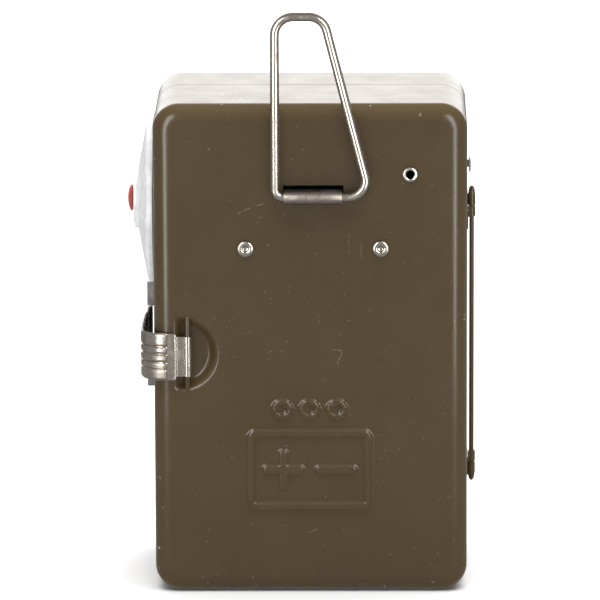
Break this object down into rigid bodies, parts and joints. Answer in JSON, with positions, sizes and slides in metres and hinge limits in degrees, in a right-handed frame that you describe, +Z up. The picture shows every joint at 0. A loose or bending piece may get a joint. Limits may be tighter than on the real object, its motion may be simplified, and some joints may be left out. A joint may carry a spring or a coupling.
{
  "type": "battery signal lamp",
  "caption": "Handheld battery lamp in a hinged sheet-steel case, with a side lens, a pull-out red filter, a side clasp and a wire hook on the back.",
  "frame": {"origin": "middle of the flat base, on the surface that the lamp stands on", "axes": "+Z up; +X towards the hinge side, so the lens points along -X; -Y out of the rear cover that carries the hook"},
  "size_m": [0.0874, 0.0544, 0.1476],
  "materials": {
    "olive_paint": "glossy olive brown enamel with small scratches and chips",
    "nickel": "worn nickel plating",
    "zinc": "zinc plated steel",
    "brass": "dull brass",
    "bronze": "spring bronze",
    "board": "brown laminated paper board",
    "black_insulator": "black moulded insulator",
    "cell_jacket": "printed jacket, left plain",
    "bulb_glass": "clear glass",
    "mirror_plate": "bright plating",
    "gasket": "dark red brown rubber",
    "clear_lens": "clear plastic, slightly clouded",
    "red_knob": "moulded red plastic",
    "red_filter": "clear red plastic",
    "paper": "varnished card"
  },
  "bodies": {
    "case": {"front_shell": "olive_paint", "seam_rim": "olive_paint", "front_rivets": "olive_paint", "hinge_leaf_case": "olive_paint", "hinge_wire": "zinc", "clasp_keeper": "nickel", "keeper_rivets": "nickel", "chassis": "zinc", "insulator_tray": "board", "bridge_contact": "brass", "cell_spring": "zinc", "cell_left": "cell_jacket", "cell_left_cap": "nickel", "cell_right": "cell_jacket", "cell_right_cap": "nickel", "contact_board": "board", "bulb_contact": "brass", "cell_contact_right": "brass", "optic_bracket": "zinc", "socket_board": "board", "lamp_socket": "brass", "bulb_cap": "brass", "bulb_tip": "black_insulator", "bulb_glass": "bulb_glass", "bulb_filament": "zinc", "reflector": "mirror_plate", "lens_ring": "mirror_plate", "lens_gasket": "gasket", "lens": "clear_lens", "rod_bush": "brass", "switch_plate": "olive_paint", "switch_insulator": "board"},
    "cover": {"rear_cover": "olive_paint", "hinge_leaf_cover": "olive_paint", "cover_rivets": "nickel", "eyelet": "nickel", "hook_bracket": "nickel", "spare_bulb_clip": "zinc", "spare_bulb_cap": "brass", "spare_bulb_glass": "bulb_glass", "cover_liner": "paper", "clasp_pin": "nickel"},
    "clasp": {"clasp_strap": "nickel"},
    "hook": {"wire_hook": "nickel"},
    "filter": {"filter_rod": "brass", "filter_knob": "red_knob", "filter_cup": "red_filter"},
    "switch": {"switch_slider": "nickel", "switch_blade": "bronze"}
  },
  "joints": [
    {"name": "cover_hinge", "type": "hinge", "parent": "case", "child": "cover", "pos_m": [0.04045, 0.004, 0.06], "axis": [0, 0, 1], "range_deg": [0, 120]},
    {"name": "clasp_swing", "type": "hinge", "parent": "cover", "child": "clasp", "pos_m": [-0.0306, -0.0248, 0.0606], "axis": [0, 0, 1], "range_deg": [0, 110]},
    {"name": "hook_swing", "type": "hinge", "parent": "cover", "child": "hook", "pos_m": [0.00075, -0.02685, 0.1012], "axis": [1, 0, 0], "range_deg": [0, 175]},
    {"name": "filter_slide", "type": "slide", "parent": "case", "child": "filter", "axis": [-1, 0, 0], "range_m": [0, 0.0085]},
    {"name": "switch_slide", "type": "slide", "parent": "case", "child": "switch", "axis": [0, 0, 1], "range_m": [0, 0.006]}
  ]
}
